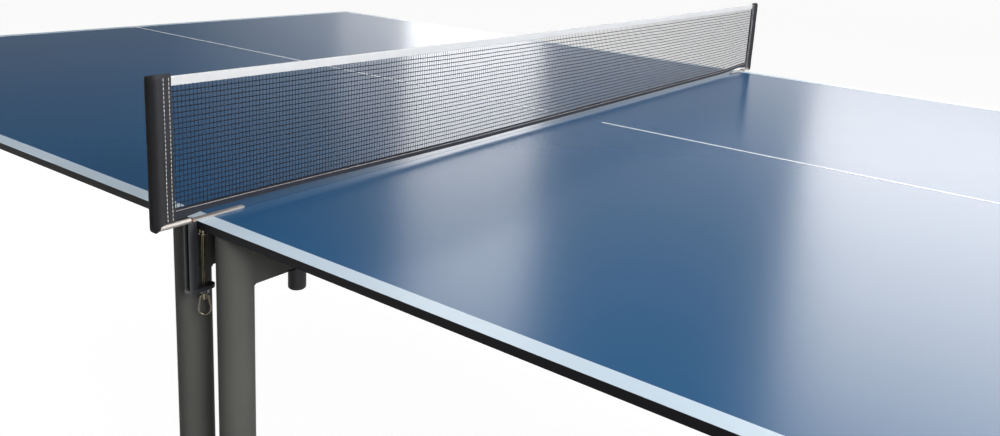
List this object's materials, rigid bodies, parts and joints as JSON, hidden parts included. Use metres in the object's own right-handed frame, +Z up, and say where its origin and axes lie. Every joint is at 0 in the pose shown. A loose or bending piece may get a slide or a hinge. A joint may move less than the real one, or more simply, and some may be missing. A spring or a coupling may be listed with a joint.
{
  "type": "ping pong table",
  "caption": "Full-size two-piece ping pong table: thin blue boards with white lines, folding tube leg frames and a clamp-on net.",
  "frame": {"origin": "on the floor, under the middle of the net", "axes": "+X along the length of the table, +Y across it from the front long side to the back one, +Z up"},
  "size_m": [2.74, 1.6314, 0.9225],
  "materials": {
    "table_top": "smooth satin blue lacquer over wood fibre board",
    "black_edge": "satin black edge band",
    "white_line": "satin white paint film",
    "grey_frame_paint": "warm dark grey powder coat",
    "black_rubber": "matt black rubber",
    "black_plastic": "matt black moulded plastic",
    "zinc_steel": "zinc plated steel",
    "net_cord": "dark navy knotted cord",
    "white_tape": "white cotton tape",
    "black_hem": "black woven hem",
    "sleeve_cloth": "black coated cloth with white stitching",
    "chrome_rod": "bright plated steel",
    "clamp_plate_steel": "plated steel with a warm tint",
    "dark_clamp_steel": "dark grey painted pressed steel"
  },
  "bodies": {
    "table": {"left_top": "table_top", "right_top": "table_top", "left_edge_band": "black_edge", "right_edge_band": "black_edge", "left_court_lines": "white_line", "right_court_lines": "white_line", "side_rails": "grey_frame_paint", "rail_end_caps": "black_plastic", "cross_rails": "grey_frame_paint", "hinge_brackets": "zinc_steel", "pivot_bolts": "zinc_steel", "front_post": "chrome_rod", "back_post": "chrome_rod", "front_clamp_plate": "clamp_plate_steel", "back_clamp_plate": "clamp_plate_steel", "front_clamp_body": "dark_clamp_steel", "back_clamp_body": "dark_clamp_steel"},
    "left_net_frame": {"left_net_front_leg": "grey_frame_paint", "left_net_back_leg": "grey_frame_paint", "left_net_cross_tube": "grey_frame_paint", "left_net_leg_plugs": "black_plastic", "left_net_feet": "black_rubber", "left_net_buffers": "black_rubber"},
    "left_net_front_knob": {"left_net_front_knob": "black_plastic"},
    "left_net_back_knob": {"left_net_back_knob": "black_plastic"},
    "left_end_frame": {"left_end_front_leg": "grey_frame_paint", "left_end_back_leg": "grey_frame_paint", "left_end_cross_tube": "grey_frame_paint", "left_end_leg_plugs": "black_plastic", "left_end_feet": "black_rubber"},
    "left_end_front_knob": {"left_end_front_knob": "black_plastic"},
    "left_end_back_knob": {"left_end_back_knob": "black_plastic"},
    "right_net_frame": {"right_net_front_leg": "grey_frame_paint", "right_net_back_leg": "grey_frame_paint", "right_net_cross_tube": "grey_frame_paint", "right_net_leg_plugs": "black_plastic", "right_net_feet": "black_rubber", "right_net_buffers": "black_rubber"},
    "right_net_front_knob": {"right_net_front_knob": "black_plastic"},
    "right_net_back_knob": {"right_net_back_knob": "black_plastic"},
    "right_end_frame": {"right_end_front_leg": "grey_frame_paint", "right_end_back_leg": "grey_frame_paint", "right_end_cross_tube": "grey_frame_paint", "right_end_leg_plugs": "black_plastic", "right_end_feet": "black_rubber"},
    "right_end_front_knob": {"right_end_front_knob": "black_plastic"},
    "right_end_back_knob": {"right_end_back_knob": "black_plastic"},
    "net": {"net_mesh": "net_cord", "net_tape": "white_tape", "net_hem": "black_hem", "front_sleeve": "sleeve_cloth", "back_sleeve": "sleeve_cloth"},
    "front_pad": {"front_pressure_pad": "chrome_rod"},
    "front_screw": {"front_clamp_screw": "chrome_rod"},
    "front_loop": {"front_screw_loop": "chrome_rod"},
    "back_pad": {"back_pressure_pad": "chrome_rod"},
    "back_screw": {"back_clamp_screw": "chrome_rod"},
    "back_loop": {"back_screw_loop": "chrome_rod"}
  },
  "joints": [
    {"name": "left_net_frame_fold", "type": "hinge", "parent": "table", "child": "left_net_frame", "pos_m": [-0.098, 0, 0.711], "axis": [0, 1, 0], "range_deg": [0, 90]},
    {"name": "left_net_front_knob_turn", "type": "hinge", "parent": "left_net_frame", "child": "left_net_front_knob", "pos_m": [-0.09244, -0.56, 0.67949], "axis": [0, 1, 0], "range_deg": [0, 720]},
    {"name": "left_net_back_knob_turn", "type": "hinge", "parent": "left_net_frame", "child": "left_net_back_knob", "pos_m": [-0.09244, 0.56, 0.67949], "axis": [0, -1, 0], "range_deg": [0, 720]},
    {"name": "left_end_frame_fold", "type": "hinge", "parent": "table", "child": "left_end_frame", "pos_m": [-1.24, 0, 0.711], "axis": [0, -1, 0], "range_deg": [0, 90]},
    {"name": "left_end_front_knob_turn", "type": "hinge", "parent": "left_end_frame", "child": "left_end_front_knob", "pos_m": [-1.24556, -0.56, 0.67949], "axis": [0, 1, 0], "range_deg": [0, 720]},
    {"name": "left_end_back_knob_turn", "type": "hinge", "parent": "left_end_frame", "child": "left_end_back_knob", "pos_m": [-1.24556, 0.56, 0.67949], "axis": [0, -1, 0], "range_deg": [0, 720]},
    {"name": "right_net_frame_fold", "type": "hinge", "parent": "table", "child": "right_net_frame", "pos_m": [0.098, 0, 0.711], "axis": [0, -1, 0], "range_deg": [0, 90]},
    {"name": "right_net_front_knob_turn", "type": "hinge", "parent": "right_net_frame", "child": "right_net_front_knob", "pos_m": [0.09244, -0.56, 0.67949], "axis": [0, 1, 0], "range_deg": [0, 720]},
    {"name": "right_net_back_knob_turn", "type": "hinge", "parent": "right_net_frame", "child": "right_net_back_knob", "pos_m": [0.09244, 0.56, 0.67949], "axis": [0, -1, 0], "range_deg": [0, 720]},
    {"name": "right_end_frame_fold", "type": "hinge", "parent": "table", "child": "right_end_frame", "pos_m": [1.24, 0, 0.711], "axis": [0, 1, 0], "range_deg": [0, 90]},
    {"name": "right_end_front_knob_turn", "type": "hinge", "parent": "right_end_frame", "child": "right_end_front_knob", "pos_m": [1.24556, -0.56, 0.67949], "axis": [0, 1, 0], "range_deg": [0, 720]},
    {"name": "right_end_back_knob_turn", "type": "hinge", "parent": "right_end_frame", "child": "right_end_back_knob", "pos_m": [1.24556, 0.56, 0.67949], "axis": [0, -1, 0], "range_deg": [0, 720]},
    {"name": "net_lift", "type": "slide", "parent": "table", "child": "net", "axis": [0, 0, 1], "range_m": [0, 0.165]},
    {"name": "front_pad_travel", "type": "slide", "parent": "table", "child": "front_pad", "axis": [0, 0, -1], "range_m": [0, 0.04]},
    {"name": "front_screw_turn", "type": "hinge", "parent": "front_pad", "child": "front_screw", "pos_m": [0, -0.7538, 0.68], "axis": [0, 0, 1], "range_deg": [0, 18030]},
    {"name": "front_loop_swing", "type": "hinge", "parent": "front_screw", "child": "front_loop", "pos_m": [0, -0.7538, 0.6701], "axis": [0.6428, 0.766, 0], "range_deg": [-50, 50]},
    {"name": "back_pad_travel", "type": "slide", "parent": "table", "child": "back_pad", "axis": [0, 0, -1], "range_m": [0, 0.04]},
    {"name": "back_screw_turn", "type": "hinge", "parent": "back_pad", "child": "back_screw", "pos_m": [0, 0.7538, 0.68], "axis": [0, 0, 1], "range_deg": [0, 18030]},
    {"name": "back_loop_swing", "type": "hinge", "parent": "back_screw", "child": "back_loop", "pos_m": [0, 0.7538, 0.6701], "axis": [0.6428, -0.766, 0], "range_deg": [-50, 50]}
  ],
  "couplings": [
    {"joint": "front_screw_turn", "follows": "front_pad_travel", "rad_per_m": 7854},
    {"joint": "back_screw_turn", "follows": "back_pad_travel", "rad_per_m": 7854}
  ]
}
